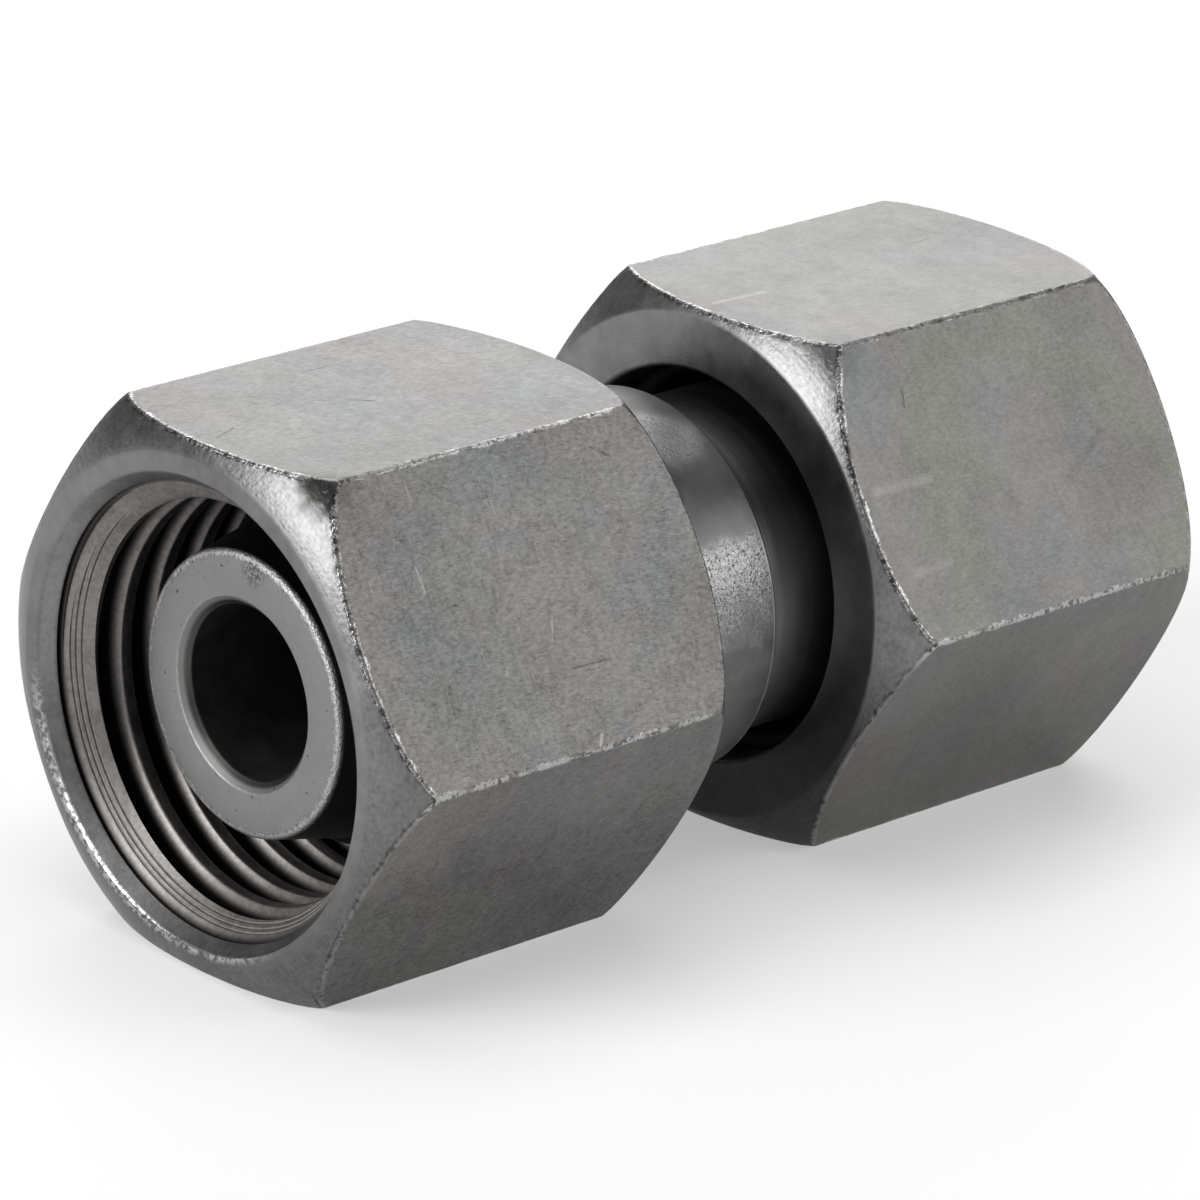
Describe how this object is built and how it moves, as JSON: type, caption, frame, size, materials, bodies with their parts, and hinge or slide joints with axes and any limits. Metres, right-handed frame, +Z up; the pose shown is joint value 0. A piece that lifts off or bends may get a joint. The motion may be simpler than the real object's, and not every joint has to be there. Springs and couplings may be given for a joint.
{
  "type": "threaded coupling",
  "caption": "Straight swivel coupling for tube joints: a bored body with a cone nose and O-ring at each end, each inside a captive hexagon union nut with an internal thread.",
  "frame": {"origin": "middle of the through bore, which is the middle of the turned body", "axes": "+Y along the bore to the rear mouth, +Z up with a flat of each hexagon upwards, +X across the corners"},
  "size_m": [0.022, 0.0389, 0.019],
  "materials": {
    "turned_steel": "fine turned, with a rough collar left from the bar",
    "nut_steel": "dull grey with worn bright edges",
    "spring_wire": "drawn wire, dark",
    "seal_rubber": "smooth black"
  },
  "bodies": {
    "body": {"body": "turned_steel", "front_o_ring": "seal_rubber", "rear_o_ring": "seal_rubber"},
    "front_ring": {"front_retaining_ring": "spring_wire"},
    "front_nut": {"front_union_nut": "nut_steel"},
    "rear_ring": {"rear_retaining_ring": "spring_wire"},
    "rear_nut": {"rear_union_nut": "nut_steel"}
  },
  "joints": [
    {"name": "front_nut_slide", "type": "slide", "parent": "body", "child": "front_ring", "axis": [0, -1, 0], "range_m": [-0.0008, 0.0039]},
    {"name": "front_nut_spin", "type": "hinge", "parent": "front_ring", "child": "front_nut", "pos_m": [0, -0.0046, 0], "axis": [0, -1, 0], "continuous": true},
    {"name": "rear_nut_slide", "type": "slide", "parent": "body", "child": "rear_ring", "axis": [0, 1, 0], "range_m": [-0.0041, 0.0006]},
    {"name": "rear_nut_spin", "type": "hinge", "parent": "rear_ring", "child": "rear_nut", "pos_m": [0, 0.00795, 0], "axis": [0, 1, 0], "continuous": true}
  ]
}
